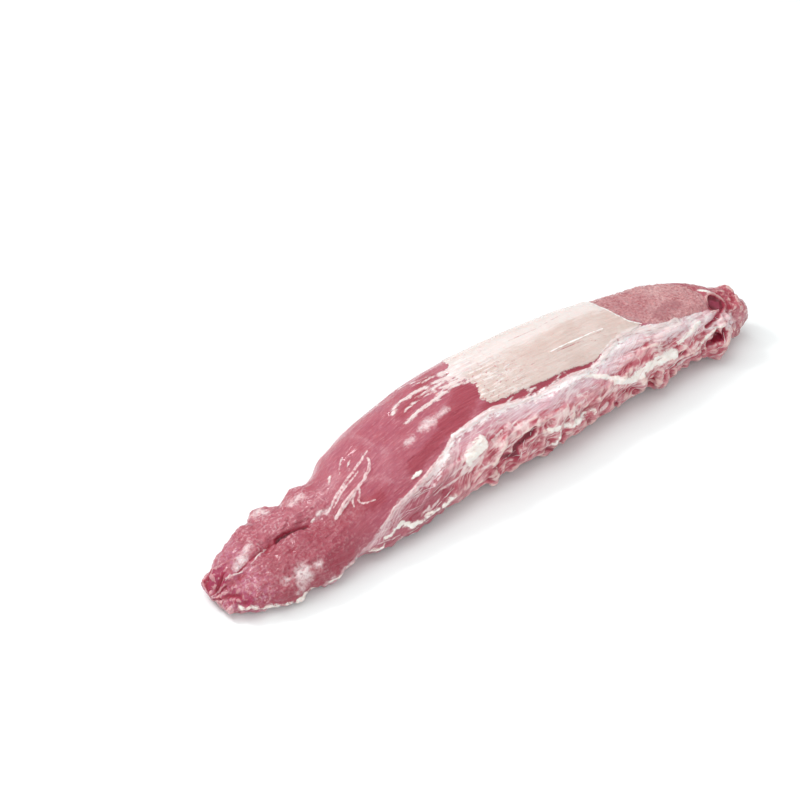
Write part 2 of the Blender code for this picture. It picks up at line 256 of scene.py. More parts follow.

# %% [markdown]
# Smaller marks are streaks. Each row is a width in mm and then a path on the map, the along and
# the angle of one place after another. Fat is cream and raised. White is fibrous tissue, and a
# seam is the same but crisp. The glints are painted highlights, white that only shows on the
# grains. Haze is a soft pale film, and where it lies round the painted glints it is a painted
# sheen. Bare is deep red muscle with no film over it. Tip is the dark end of the tail. A line is
# painted shade along a fine crease, and under the slit's raised lip a painted shadow. The
# hollows are painted dark inside, painted shade: the tail's cleft and its folds, the vein's open
# end and the gaps beside it.

# %% Streaks of each tissue
MARKS = {
    "fat": (
        (6.5, -31, 160, -26, 157, -21, 155),
        (2.8, -89, 183, -83, 181, -77, 180, -72, 186, -66, 189),
        (1.6, -66, 189, -60, 185, -55, 186), (2.4, -52, 186, -44, 184),
        (2, -97, 189, -91, 190), (2, -63, 148, -58, 149),
        (2.6, 52, 147, 58, 152, 64, 158, 70, 166), (4.4, 68, 165, 74, 169, 81, 172, 87, 167),
        (4.6, 90, 166, 97, 165, 105, 163, 112, 164), (2.6, 117, 157, 127, 151, 135, 142),
        (2.2, 18, 172, 29, 177, 37, 180, 51, 181), (1.8, 26, 178, 22, 186, 17, 190),
        (2, -168, 176, -163, 180, -160, 185), (3.4, -158, 188, -152, 190),
        (1.6, -151, 188, -145, 191), (3.2, -142, 192, -136, 192), (1.4, -134, 189, -127, 190),
        (2.8, -123, 191, -117, 190), (1.2, -114, 188, -106, 186),
        (4, 152, 78, 154, 83, 156, 92), (1.6, 131, 168, 141, 161, 150, 155),
        (1.6, -60, 246, -35, 252, -12, 250), (2, 30, 243, 52, 248, 70, 244),
    ),
    "white": (
        (0.9, -49, 33, -40, 34, -34, 36, -27, 44, -17, 55),
        (2.4, -50, 64, -46, 60, -40, 58, -32, 60, -24, 63, -13, 66, -6, 66),
        (2.6, -48, 86, -42, 86, -37, 85, -28, 84, -20, 84),
        (1.2, -44, 73, -38, 71, -30, 72, -24, 74), (1.6, -34, 66, -26, 68, -16, 72, -8, 74),
        (4, -14, 57, -6, 60, 2, 62), (1.0, -30, 50, -22, 54, -14, 58, -6, 60),
        (3.5, -16, 66, -8, 68, 0, 70), (3, -20, 76, -12, 78, -6, 80),
        (2, -24, 69, -14, 71, -4, 75), (1.6, -25, 80, -16, 82, -6, 86), (2.5, -10, 84, 0, 88),
        (1.5, -141, 78, -147, 84, -151, 97, -157, 99, -162, 103, -167, 94),
        (2.4, -121, 98, -119, 99), (1.6, -116, 96, -111, 96), (0.8, 2, 84, 9, 82, 15, 82),
        (1.0, 8, 92, 14, 91, 21, 92), (0.7, 0, 100, 6, 98, 12, 99),
        (1.2, 6, 72, 14, 72, 20, 74), (0.7, -86, 60, -90, 68, -92, 76),
        (1.0, -82, 68, -86, 76, -87, 82), (0.6, -95, 60, -99, 70),
        (5, 84, 124, 91, 120, 96, 121, 106, 128, 116, 131, 122, 131),
        (3.6, 67, 139, 75, 130, 80, 126), (1.2, 42, 132, 43, 138), (0.9, 39, 133, 29, 141),
        (0.7, 21, 134, 12, 141), (1.0, 8, 131, -4, 138), (1.6, 18, 132, 23, 134),
        (1.2, -120, 230, -98, 236, -80, 233), (1.6, 10, 258, 36, 262, 60, 256),
        (1.1, -60, -20, -40, -24, -18, -18), (1.4, 96, -30, 112, -22, 130, -26),
    ),
    "seam": (
        (0.9, 43, 102, 53, 103, 65, 104, 78, 104),
        (1.3, 86, 22, 87.5, 48, 89.5, 66, 91.5, 90, 95, 105, 101, 115),
    ),
    "painted_glint": (
        (6.5, -138, 166, -135, 164), (2, -130, 164, -126, 161), (2, -138, 173, -141, 177),
        (1.6, -144, 163, -147, 159), (6, -159, 84, -155, 72), (3, -152, 66, -149, 58),
        (5, -43, 108, -37, 106), (3, -55, 111, -52, 111), (3, -32, 106, -26, 104),
        (3, -134, 24, -130, 28), (3, -119, 46, -114, 50), (3, -112, 96, -108, 106),
        (4, -140, -50, -120, -40),
    ),
    "haze": (
        (8, -41, 107, -38, 107), (5, -33, 106, -28, 104, -22, 105), (5, -54, 111, -52, 111),
        (7, -24, 70, -12, 74), (2.6, -74, 36, -72, 52, -71, 66, -69, 84, -66, 106),
        (1.4, -84, 118, -76, 130, -72, 142), (1.2, -90, 132, -98, 150, -108, 158),
        (9, -110, 70, -96, 74), (5, 14, -26, 40, -22, 72, -30), (5, -90, -10, -60, -16),
    ),
    "bare": (
        (6, -8, 128, 4, 131, 16, 133, 33, 135, 45, 135, 56, 138),
        (16, -30, 124, -20, 112, -12, 100), (8, -60, 140, -48, 134, -38, 128),
        (9, -120, 130, -100, 134, -84, 146), (7, -46, 74, -34, 66, -18, 48),
        (8, -64, 28, -40, 24, -20, 26, -4, 30), (10, 116, 112, 124, 102, 130, 100),
        (8, -166, 172, -156, 172, -145, 167, -119, 172),
    ),
    "tip": (
        (7, -171, 44, -168, 60, -169, 93), (4, -170, 150, -166, 168),
    ),
    "line": (
        (0.8, 46, 106, 60, 108, 76, 107), (0.5, 60, 109, 68, 114, 74, 121),
        (0.5, 70, 110, 78, 115, 84, 116), (0.5, 20, 108, 32, 106, 44, 106),
        (0.5, 2, 118, 14, 116, 22, 117), (0.6, -30, 98, -26, 108, -22, 119),
        (0.5, -60, 138, -50, 132, -42, 130), (0.6, 30, 60, 50, 62, 66, 58),
    ),
    "hollow": (
        (1.4, -161, 97, -155, 88, -149, 84, -142, 77, -136, 83),
        (5.2, -135, 83, -129, 89, -124, 94, -121, 98), (9.6, 153.5, 113, 155, 118),
        (2.2, 156, 130, 150, 137, 146, 146, 139, 151), (3.2, 150, 165, 146, 171, 137, 175),
        (2.2, 119, 169, 114, 168), (4.4, 10, 167, -2, 174, -3, 183, -11, 177),
        (3, 18, 194, 25, 197), (2.2, -177, 30, -170, 34), (2.5, -177, 72, -171, 76, -167, 71),
        (2.4, -177, 118, -169, 114), (2, -177, 158, -170, 154, -167, 156),
        (2.4, -175, 200, -169, 196), (2.2, 66, 186, 70, 196),
    ),
}
print("marks:", {name: len(rows) for name, rows in MARKS.items()})

# %% [markdown]
# ## Strands and lobes for the chain
#
# The chain looks stringy because it is a bundle of small muscles and white cords that were torn
# free of the ribs. Guide lines are drawn on the map and laid on the skin; a Geometry Nodes tree
# then wobbles each one and gives it a round, tapering body.

# %% Lay guide lines on the skin
GUIDE_STEP = 1.6
FEWEST_STEPS = 7
MEAN_RADIUS = 22
WAVE_PACE = 0.14
SEED = 11
dice = random.Random(SEED)


def laid(path, lift=0.0, lift_end=None, wave=0.0):
    """Points on the skin, one step apart, along a path of map places."""
    path = np.array(path, float)
    lengths = np.hypot(np.diff(path[:, 0]), np.radians(np.diff(path[:, 1])) * MEAN_RADIUS)
    reach = np.concatenate([[0.0], np.cumsum(lengths)])
    steps = np.linspace(0.0, reach[-1], max(FEWEST_STEPS, int(reach[-1] / GUIDE_STEP)))
    lifts = np.linspace(lift, lift if lift_end is None else lift_end, len(steps))
    sway = wave * np.sin(dice.uniform(0.0, 6.3) + steps * WAVE_PACE)
    turns = np.interp(steps, reach, path[:, 1]) + sway
    return [on_skin(*spot) for spot in zip(np.interp(steps, reach, path[:, 0]), turns, lifts)]


def new_object(name, data):
    """A new object in the scene."""
    obj = bpy.data.objects.new(name, data)
    bpy.context.scene.collection.objects.link(obj)
    return obj


def guide_object(name, lines):
    """A curve object of poly splines. Each line is its points and its radius, in mm."""
    data = bpy.data.curves.new(name, "CURVE")
    data.dimensions = "3D"
    for points, radius in lines:
        spline = data.splines.new("POLY")
        spline.points.add(len(points) - 1)
        for i, point in enumerate(points):
            # Thin at both ends and full in the middle
            taper = 0.2 + 0.8 * math.sin(math.pi * (i + 0.5) / len(points)) ** 0.6
            spline.points[i].co = (*(Vector(point) * MM), 1.0)
            spline.points[i].radius = radius * MM * taper
    return new_object(name, data)


# %% [markdown]
# Most strands and cords are scattered over the chain at random, each with a length, a depth
# below the chain's border, a radius and a climb. Teeth hang along its lower edge, at a pitch
# that wavers, and shreds stand round the tail's tip.

# %% Draw the chain's red strands, its white cords and its ragged teeth
CHAIN_FIRST, CHAIN_LAST, CHAIN_LOWEST = -96, 160, 206
TEETH_START, TEETH_END, TEETH_PITCH, TEETH_JITTER = -16, 163, 8, 4.5
TIP_SHREDS = 26


def border_angle(along):
    """The angle at which the chain starts."""
    return np.interp(along, *np.array(CHAIN_BORDER, float).T)


def chain_lines(count, lengths, depths, radii, climbs):
    """Lines along the chain. Lengths and radii are in mm, depths and climbs in degrees."""
    made = []
    for _ in range(count):
        length = dice.uniform(*lengths)
        start = dice.uniform(CHAIN_FIRST, CHAIN_LAST - length)
        angle = border_angle(start + length / 2)
        angle += dice.uniform(depths[0], min(depths[1], CHAIN_LOWEST - angle))
        climb = dice.uniform(*climbs)
        radius = dice.uniform(*radii)
        ends = ((start, angle + climb), (start + length, angle - climb))
        made.append((laid(ends, -0.2 * radius, None, 1.5), radius))
    return made


red_lines = chain_lines(38, (24, 64), (24, 64), (1.1, 2), (-4, 8))
red_lines += chain_lines(30, (14, 30), (28, 66), (1.3, 2.4), (8, 18))
white_lines = chain_lines(34, (20, 60), (24, 66), (0.4, 0.8), (-4, 8))
white_lines += chain_lines(34, (12, 26), (28, 66), (0.4, 0.8), (4, 12))
for step in range(int((TEETH_END - TEETH_START) / TEETH_PITCH)):
    along = TEETH_START + step * TEETH_PITCH + dice.uniform(-TEETH_JITTER, TEETH_JITTER)
    radius = dice.uniform(1.4, 3.6)
    top = dice.uniform(164, 186)
    foot = dice.uniform(192, 208)
    ends = ((along + 2, top), (along - dice.uniform(-7, 11), foot))
    red_lines.append((laid(ends, -0.3 * radius, 0.6 * radius), radius))
for _ in range(TIP_SHREDS):
    along = dice.uniform(-174, -158)
    angle = dice.uniform(-20, 200)
    radius = dice.uniform(0.7, 1.5)
    ends = ((along, angle), (along - 4, angle + dice.uniform(-14, 14)))
    red_lines.append((laid(ends, 0.0, 0.7), radius))

# %% [markdown]
# Some strands have known places. The ridge runs along the top of the chain. On the tail a pair of
# cords meets like a hairpin, where the muscle was pulled from its neighbour. At the head, straps
# of muscle fold down from the vein and end in two lobes. Each row is a radius and then a path.

# %% Draw the ridge, the tail's cords and the head's straps
STRAPS = (
    (1.3, 160, 117, 158, 131, 154, 137, 150, 131, 149, 117, 150, 103, 154, 97, 158, 103, 160, 117),
    (1.6, 163, 122, 157, 128, 148, 134, 138, 140, 128, 147),
    (1.9, 165, 134, 159, 144, 151, 154, 142, 161, 131, 168),
    (2.4, 165, 156, 160, 164, 153, 173, 145, 181, 137, 187),
    (2.6, 161, 172, 158, 188, 155, 203), (2.7, 148, 182, 145, 192, 142, 203),
    (2.8, 130, 178, 130, 190, 131, 201), (1.6, 122, 160, 116, 166, 108, 172),
    (2, 167, 60, 169, 90, 168, 120),
)
CORDS = (
    (1.2, -90, 171, -79, 162, -71, 160, -58, 156, -50, 152, -43, 148, -36, 141),
    (1.6, -38, 143, -32, 136, -20, 135, -6, 134, 6, 137, 23, 142),
    (1.3, 18, 141, 45, 141, 58, 144, 69, 137, 80, 129),
    (0.6, -74, 82, -80, 87, -89, 91, -97, 95, -104, 101, -109, 109),
    (0.35, -84, 94, -91, 98, -99, 103, -105, 111),
    (0.8, -76, 90, -77, 98, -80, 106, -85, 112, -93, 116),
    (1.3, -88, 114, -96, 118, -101, 121, -108, 129),
    (0.35, -89, 115, -91, 124, -94, 131, -92, 138, -86, 143),
    (0.35, -91, 117, -96, 127, -97, 134), (0.8, 152, 152, 141, 158, 131, 165),
    (0.6, 158, 126, 148, 131, 138, 138), (0.6, 161, 154, 155, 166, 148, 176),
)


def places(numbers):
    """The (along, angle) places in a plain row of numbers."""
    return list(zip(numbers[::2], numbers[1::2]))


white_lines += [(laid(places(path), 0.1, None, 0.9), radius) for radius, *path in CORDS]
red_lines += [(laid(places(path), -0.2, 0.5), radius) for radius, *path in STRAPS]
print("red strands:", len(red_lines), "white cords:", len(white_lines))

# %% [markdown]
# The tree for strands takes the guide curves, shifts their points a little with noise so that
# no two look alike, and sweeps a small circle along them, scaled by each point's own radius.

# %% Build the tree that gives strands their body
strand_sizes = {"Sides": 8, "Wobble": 0.0008, "Seed": 3, "Finish": None}
strand_tree, given = start_tree("strands", strand_sizes)
noise = add(
    strand_tree, "ShaderNodeTexNoise",
    {"Vector": add(strand_tree, "GeometryNodeInputPosition"), "W": given["Seed"], "Scale": 260,
     "Detail": 1.0},
    noise_dimensions="4D",
)
centred = add(
    strand_tree, "ShaderNodeVectorMath", {0: noise.outputs["Color"], 1: (0.5, 0.5, 0.5)},
    operation="SUBTRACT",
)
shift = add(
    strand_tree, "ShaderNodeVectorMath", {0: centred, "Scale": given["Wobble"]}, operation="SCALE"
)
moved = add(
    strand_tree, "GeometryNodeSetPosition", {"Geometry": given["Geometry"], "Offset": shift}
)
ring = add(
    strand_tree, "GeometryNodeCurvePrimitiveCircle", {"Resolution": given["Sides"], "Radius": 1.0}
)
body = add(
    strand_tree, "GeometryNodeCurveToMesh",
    {"Curve": moved, "Profile Curve": ring, "Fill Caps": True,
     "Scale": add(strand_tree, "GeometryNodeInputRadius")},
)
end_tree(strand_tree, body, given["Finish"])


def strand_mesh(lines, sizes):
    """The mesh that the strand tree makes from these guide lines."""
    guides = guide_object("guides", lines)
    mesh = run_tree(guides, strand_tree, sizes)
    bpy.data.objects.remove(guides)
    return mesh


red_mesh = strand_mesh(red_lines, {"Sides": 8, "Wobble": 0.0016, "Seed": 3})
white_mesh = strand_mesh(white_lines, {"Sides": 6, "Wobble": 0.0014, "Seed": 4})
print("strands:", len(red_mesh.polygons) + len(white_mesh.polygons), "faces")

# %% [markdown]
# Along the chain's lower edge and round both ends hang small lobes, the ends of muscles that
# were cut through. They are spheres on points, each turned and stretched its own way.

# %% Pick the places of the lobes
CHAIN_LOBES = 50
TAIL_LOBES = 44


def lobe_points():
    """Places along the ragged edges, with a size in mm for each."""
    made = []
    for _ in range(CHAIN_LOBES):
        along = dice.uniform(-100, 162)
        size = dice.uniform(1.8, 3.9) * (0.45 if along < -14 else 1.0)
        angle = dice.gauss(192, 8) if along < 140 else dice.uniform(105, 205)
        made.append((on_skin(along, angle, -0.35 * size), size))
    for _ in range(TAIL_LOBES):
        along = dice.uniform(-174, -108)
        size = dice.uniform(0.9, 2)
        angle = dice.choice((dice.gauss(0.0, 22), dice.gauss(190, 9)))
        made.append((on_skin(along, angle, -0.4 * size), size))
    return made


def store(mesh, name, values):
    """Keeps a number or a vector for each vertex, under a name."""
    kind, key = ("FLOAT", "value") if values.ndim == 1 else ("FLOAT_VECTOR", "vector")
    mesh.attributes.new(name, kind, "POINT").data.foreach_set(key, values.ravel())


def point_object(name, spots):
    """A mesh of loose points, with a size in metres stored on each."""
    mesh = bpy.data.meshes.new(name)
    mesh.from_pydata([Vector(point) * MM for point, _ in spots], [], [])
    store(mesh, "size", np.array([size * MM for _, size in spots]))
    return new_object(name, mesh)


edge_points = point_object("edge_points", lobe_points())

# %% Build the tree that puts a stretched sphere on each point
lobe_sizes = {"Roundness": 2, "Tilt": 0.7, "Seed": 5, "Finish": None}
lobe_tree, given = start_tree("lobes", lobe_sizes)
ball = add(
    lobe_tree, "GeometryNodeMeshIcoSphere", {"Radius": 1.0, "Subdivisions": given["Roundness"]}
)
shape = add(
    lobe_tree, "FunctionNodeRandomValue",
    {0: (0.5, 0.6, 0.5), 1: (1.5, 1.1, 1.1), "Seed": given["Seed"]}, data_type="FLOAT_VECTOR",
)
size = add(lobe_tree, "GeometryNodeInputNamedAttribute", {"Name": "size"}, data_type="FLOAT")
scale = add(lobe_tree, "ShaderNodeVectorMath", {0: shape, "Scale": size}, operation="SCALE")
turn = add(
    lobe_tree, "FunctionNodeRandomValue",
    {0: (-1.0, -1.0, -1.0), 1: (1.0, 1.0, 1.0), "Seed": given["Seed"]}, data_type="FLOAT_VECTOR",
)
tilt = add(lobe_tree, "ShaderNodeVectorMath", {0: turn, "Scale": given["Tilt"]}, operation="SCALE")
placed = add(
    lobe_tree, "GeometryNodeInstanceOnPoints",
    {"Points": given["Geometry"], "Instance": ball, "Rotation": tilt, "Scale": scale},
)
end_tree(lobe_tree, placed, given["Finish"])
lobe_mesh = run_tree(edge_points, lobe_tree, {"Seed": 5})
bpy.data.objects.remove(edge_points)
print("lobes:", len(lobe_mesh.polygons), "faces")

# %% [markdown]
# ## One skin
#
# Meat has no seams, so the solid, the strands and the lobes are grown into one skin with a voxel
# remesh. The solid is smoothed first to lose its facets, and the strands are added after that,
# so that they stay crisp.

# %% Join the pieces into one skin
SOLID_VOXEL = 0.0012
SKIN_VOXEL = 0.0009


def mesh_object(name, meshes):
    """One object of all these meshes, with doubled vertices merged."""
    work = bmesh.new()
    for mesh in meshes:
        work.from_mesh(mesh)
    bmesh.ops.remove_doubles(work, verts=work.verts, dist=1e-6)
    mesh = bpy.data.meshes.new(name)
    work.to_mesh(mesh)
    work.free()
    return new_object(name, mesh)


def grown(obj, voxel, rounds):
    """The object's mesh as one skin of small quads, softened a little."""
    remesh = obj.modifiers.new("one skin", "REMESH")
    remesh.mode = "VOXEL"
    remesh.voxel_size = voxel
    smooth = obj.modifiers.new("soften", "SMOOTH")
    smooth.factor = 0.5
    smooth.iterations = rounds
    mesh = evaluated_mesh(obj)
    bpy.data.objects.remove(obj)
    return mesh


rounded = grown(mesh_object("rounded", [solid.data]), SOLID_VOXEL, rounds=6)
together = mesh_object("skin", [rounded, red_mesh, white_mesh, lobe_mesh])
skin_mesh = grown(together, SKIN_VOXEL, rounds=2)
print("skin:", len(skin_mesh.polygons), "quads")

# %% [markdown]
# ## Attributes
#
# The shader needs to know what lies where. For each vertex the script stores its distance in mm
# to the border of each tissue, positive inside. A distance varies smoothly, so the shader can
# fray a border with fine noise and still draw it sharper than the mesh.

# %% Distances on the map
points = np.array([vertex.co for vertex in skin_mesh.vertices]) / MM
along, angle = map_of(points)
local_radius = np.interp(along, slice_x, half_width)


def distance_to_path(path):
    """Distance in mm on the map from each vertex to a path of (along, angle) places."""
    best = np.full(len(points), 1e9)
    for (a0, t0), (a1, t1) in zip(path, path[1:]):
        start = np.stack([along - a0, np.radians(angle - t0) * local_radius])
        step = np.stack([np.full(len(points), a1 - a0), np.radians(t1 - t0) * local_radius])
        share = np.clip((start * step).sum(0) / ((step * step).sum(0) + 1e-9), 0.0, 1.0)
        best = np.minimum(best, np.hypot(*(start - share * step)))
    return best


def inside(outline):
    """True for each vertex whose map place is inside the outline."""
    found = np.zeros(len(points), bool)
    for (a0, t0), (a1, t1) in zip(outline, outline[1:] + outline[:1]):
        crosses = (t0 > angle) != (t1 > angle)
        reach = a0 + (angle - t0) * (a1 - a0) / (t1 - t0 if t1 != t0 else 1e-9)
        found ^= crosses & (along < reach)
    return found


def depth_inside(outline):
    """Distance in mm to the outline, positive inside and negative outside."""
    distance = distance_to_path(outline + outline[:1])
    return np.where(inside(outline), distance, -distance)


def streak_depth(streaks):
    """Distance in mm to the edge of the nearest streak, positive inside it."""
    depths = [width / 2 - distance_to_path(places(path)) for width, *path in streaks]
    return np.max(depths, axis=0)


fields = {name: streak_depth(streaks) for name, streaks in MARKS.items()}
fields["silverskin"] = depth_inside(SILVERSKIN)
fields["cut_face"] = depth_inside(CUT_FACE)
below = angle - border_angle(along)
fields["chain"] = np.radians(np.minimum(below, CHAIN_FOOT - angle)) * local_radius
fields["depth"] = np.radians(below) * local_radius
fields["along"] = along
fields["angle"] = angle
print("silverskin covers", round(100 * float((fields["silverskin"] > 0).mean())), "% of the skin")

# %% [markdown]
# The white cords are part of the skin now, so each vertex also stores how far it is from the
# nearest cord. The shader paints them white with it.

# %% Distance to the white cords
cord_rays = BVHTree.FromPolygons(
    [vertex.co[:] for vertex in white_mesh.vertices],
    [face.vertices[:] for face in white_mesh.polygons],
)
fields["cord"] = np.array([cord_rays.find_nearest(point)[3] for point in points * MM]) / MM
print("near a cord:", round(100 * float((fields["cord"] < 0.3).mean())), "% of the skin")

# %% [markdown]
# Two more attributes are maps for noise. The grain runs along the muscle. The slant crosses it
# by fifteen degrees, the way the chain's strands climb from its edge to its ridge.

# %% Store the attributes on the skin
SLANT = math.radians(15)
middle_y, middle_z = axis_at(along)
climbing = along * math.cos(SLANT) - fields["depth"] * math.sin(SLANT)
crossing = along * math.sin(SLANT) + fields["depth"] * math.cos(SLANT)
maps = {
    "grain": np.stack([along, points[:, 1] - middle_y, points[:, 2] - middle_z], axis=1),
    "slant": np.stack([climbing, crossing, np.zeros_like(along)], axis=1),
}
for name, values in (*fields.items(), *maps.items()):
    store(skin_mesh, name, values)
skin = new_object("skin", skin_mesh)
print("attributes:", len(fields) + len(maps))

# %% [markdown]
# ## Fine relief
#
# Muscle fibres run along the cut, so their relief is noise that is stretched along the grain.
# The chain is coarse, the tail is lumpy, the cut face is granular, and the silverskin is a
# smooth sheet that stands half a millimetre proud. A tree moves each vertex along its normal.
# Its inputs are the heights in metres; a hollow's is below zero.

# %% Start the relief tree and mark out its zones
pork = bpy.data.materials.new("raw pork, moist, with fat and silverskin")
relief_tree, given = start_tree(
    "relief",
    {"Fibres": 0.00015, "Chain fibres": 0.0004, "Chain lobes": 0.0010, "Ridge lumps": 0.0008,
     "Tail lumps": 0.0007, "Tail fibres": 0.0006, "Tail grains": 0.0004, "Grains": 0.00045,
     "Head lumps": 0.0009, "Silverskin": 0.0005, "White": 0.00035, "Seam": 0.0006,
     "Hollows": -0.0016, "Fat": 0.0006, "Finish": None},
)


def read_back(name, kind="FLOAT"):
    """The node that reads a stored attribute in the relief tree."""
    return add(relief_tree, "GeometryNodeInputNamedAttribute", {"Name": name}, data_type=kind)


zones = {}
for name, field, start, end in (
    ("tail", "along", -88, -120),
    ("end", "along", 145, 156),
    ("chain", "chain", -0.5, 3),
    ("low chain", "depth", 9, 17),
    ("ridge", "depth", 5, 2.5),
    ("edge", "angle", 158, 172),
    ("sheet", "silverskin", -0.6, 0.8),
    ("no sheet", "silverskin", 0.8, -0.6),
    ("face", "cut_face", -1.0, 1.0),
    ("fat", "fat", -0.8, 1.2),
    ("white", "white", -0.3, 0.6),
    ("seam", "seam", -0.4, 0.5),
    ("hollow", "hollow", -0.8, 1.6),
):
    inputs = {"Value": read_back(field), "From Min": start, "From Max": end}
    zones[name] = add(relief_tree, "ShaderNodeMapRange", inputs, interpolation_type="SMOOTHSTEP")
print("zones:", ", ".join(zones))

# %% [markdown]
# Each kind of relief is a height, a noise with its own feature size in mm, and the zones where it
# shows. Folded noise, its absolute value, makes rounded swellings with sharp creases between.

# %% Describe the swellings and add them up
MEAN_FOLD = 0.35
courses = {name: read_back(name, "FLOAT_VECTOR") for name in maps}


def swelling(stretch, detail, folded=False, course="grain"):
    """Noise from -1 to 1 whose features have these sizes in mm on each axis."""
    inputs = {0: courses[course], 1: stretch}
    scaled = add(relief_tree, "ShaderNodeVectorMath", inputs, operation="DIVIDE")
    inputs = {"Vector": scaled, "Scale": 1.0, "Detail": detail}
    noise = add(relief_tree, "ShaderNodeTexNoise", inputs)
    inputs = {"Value": noise, "From Min": 0.25, "From Max": 0.75, "To Min": -1.0}
    spread = add(relief_tree, "ShaderNodeMapRange", inputs, clamp=False)
    if not folded:
        return spread
    crests = add(relief_tree, "ShaderNodeMath", {0: spread}, operation="ABSOLUTE")
    return add(relief_tree, "ShaderNodeMath", {0: crests, 1: MEAN_FOLD}, operation="SUBTRACT")


MOVES = (
    ("Fibres", swelling((16, 2.2, 2.2), 3), "no sheet"),
    ("Chain fibres", swelling((12, 2.4, 1.0), 3, course="slant"), "chain", "low chain"),
    ("Chain lobes", swelling((9, 6.5, 6.5), 2, folded=True), "chain", "edge"),
    ("Ridge lumps", swelling((6, 2.8, 2.8), 2, folded=True), "chain", "ridge"),
    ("Tail lumps", swelling((8, 7, 7), 1.0), "tail"),
    ("Tail fibres", swelling((8, 3, 3), 2, folded=True), "tail"),
    ("Tail grains", swelling((3, 1.9, 1.9), 1.0), "tail"),
    ("Grains", swelling((1.8, 1.8, 1.8), 1.0), "face"),
    ("Head lumps", swelling((6, 6, 6), 2, folded=True), "end"),
    ("Silverskin", 1.0, "sheet"),
    ("Fat", 1.0, "fat"),
    ("White", 1.0, "white"),
    ("Seam", 1.0, "seam"),
    ("Hollows", 1.0, "hollow"),
)
total = 0.0
for size, noise, *where in MOVES:
    height = given[size]
    for factor in (noise, *(zones[name] for name in where)):
        height = add(relief_tree, "ShaderNodeMath", {0: height, 1: factor}, operation="MULTIPLY")
    total = add(relief_tree, "ShaderNodeMath", {0: total, 1: height}, operation="ADD")
print("kinds of relief:", len(MOVES))

# %% [markdown]
# The tree ends by moving the skin and giving it its finish. The result is kept inside the
# solid's box, so that the meat lies flat and isn't longer than it was measured.

# %% Apply the relief
inputs = {0: add(relief_tree, "GeometryNodeInputNormal"), "Scale": total}
offset = add(relief_tree, "ShaderNodeVectorMath", inputs, operation="SCALE")
inputs = {"Geometry": given["Geometry"], "Offset": offset}
end_tree(relief_tree, add(relief_tree, "GeometryNodeSetPosition", inputs), given["Finish"])
skin.data = run_tree(skin, relief_tree, {"Finish": pork})
points = np.array([vertex.co for vertex in skin.data.vertices]) / MM
points = np.clip(points, low_corner, high_corner)
skin.data.vertices.foreach_set("co", points.ravel() * MM)
skin.data.update()
skin.data.shade_smooth()
print("skin after relief:", len(skin.data.vertices), "vertices")

# %% [markdown]
# Crevices between strands get painted shade, a dark red, while ridges are pale with fat. Comparing
# the skin with a blurred copy of itself tells them apart: a wide blur finds the gaps between
# lobes, and a narrow one finds the thin creases.

# %% Find the crevices and ridges
NARROW, WIDE = 4, 20
edges = np.array([edge.vertices[:] for edge in skin.data.edges])
normals = np.array([vertex.normal for vertex in skin.data.vertices])
neighbours = np.bincount(edges.ravel(), minlength=len(points))


def blurred(values, rounds):
    """Values averaged with those of their neighbours, again and again."""
    for _ in range(rounds):
        total = np.zeros_like(values)
        for column in range(values.shape[1]):
            for here, there in (edges.T, edges.T[::-1]):
                total[:, column] += np.bincount(here, values[there, column], len(values))
        values = 0.5 * values + 0.5 * total / neighbours[:, None]
    return values


narrow = blurred(points, NARROW)
fields["crease"] = ((narrow - points) * normals).sum(1)
fields["crevice"] = ((blurred(narrow, WIDE) - points) * normals).sum(1)
for name in ("crease", "crevice"):
    store(skin.data, name, fields[name])
print("deepest crevice, in mm:", round(float(fields["crevice"].max()), 1))

# %% [markdown]
# ## The finish: raw pork
#
# Raw pork is pale rose muscle under a thin, wet film. Light goes a few millimetres into it and
# comes out red, so it needs subsurface scattering, and its water gives it a sharp clear gloss.
# The lean, the silverskin, the fat and the painted shade in the hollows are colours of one
# material, because they blend into each other along frayed borders.

# %% Start the material and read the attributes
pork.use_nodes = True
tree = pork.node_tree
surface = tree.nodes["Principled BSDF"]
readers = {name: add(tree, "ShaderNodeAttribute", attribute_name=name) for name in (*fields, *maps)}
masks = {name: readers[name].outputs["Fac"] for name in fields}
grain, slant = (readers[name].outputs["Vector"] for name in maps)
place = add(tree, "ShaderNodeTexCoord").outputs["Object"]
print("attributes read:", ", ".join(readers))

# %% [markdown]
# The patterns are noise fields whose scales are real sizes: millimetres along the grain and the
# slant, metres on Object coordinates. Single fibre bundles in pork are about a millimetre across
# and tens of millimetres long, and marbling runs with them.

# %% Noise patterns
NOISE_LOW, NOISE_HIGH = 0.28, 0.72


def pattern(vector, stretch, detail, roughness=0.55):
    """Noise from 0 to 1 over a vector divided by a feature size on each axis."""
    scaled = add(tree, "ShaderNodeVectorMath", {0: vector, 1: stretch}, operation="DIVIDE")
    inputs = {"Vector": scaled, "Scale": 1.0, "Detail": detail, "Roughness": roughness}
    noise = add(tree, "ShaderNodeTexNoise", inputs)
    inputs = {"Value": noise, "From Min": NOISE_LOW, "From Max": NOISE_HIGH}
    return add(tree, "ShaderNodeMapRange", inputs)


def mixed(value, *noises):
    """A value with an amount of each noise added."""
    for noise, amount in noises:
        inputs = {0: noise, 1: amount, 2: value}
        value = add(tree, "ShaderNodeMath", inputs, operation="MULTIPLY_ADD")
    return value


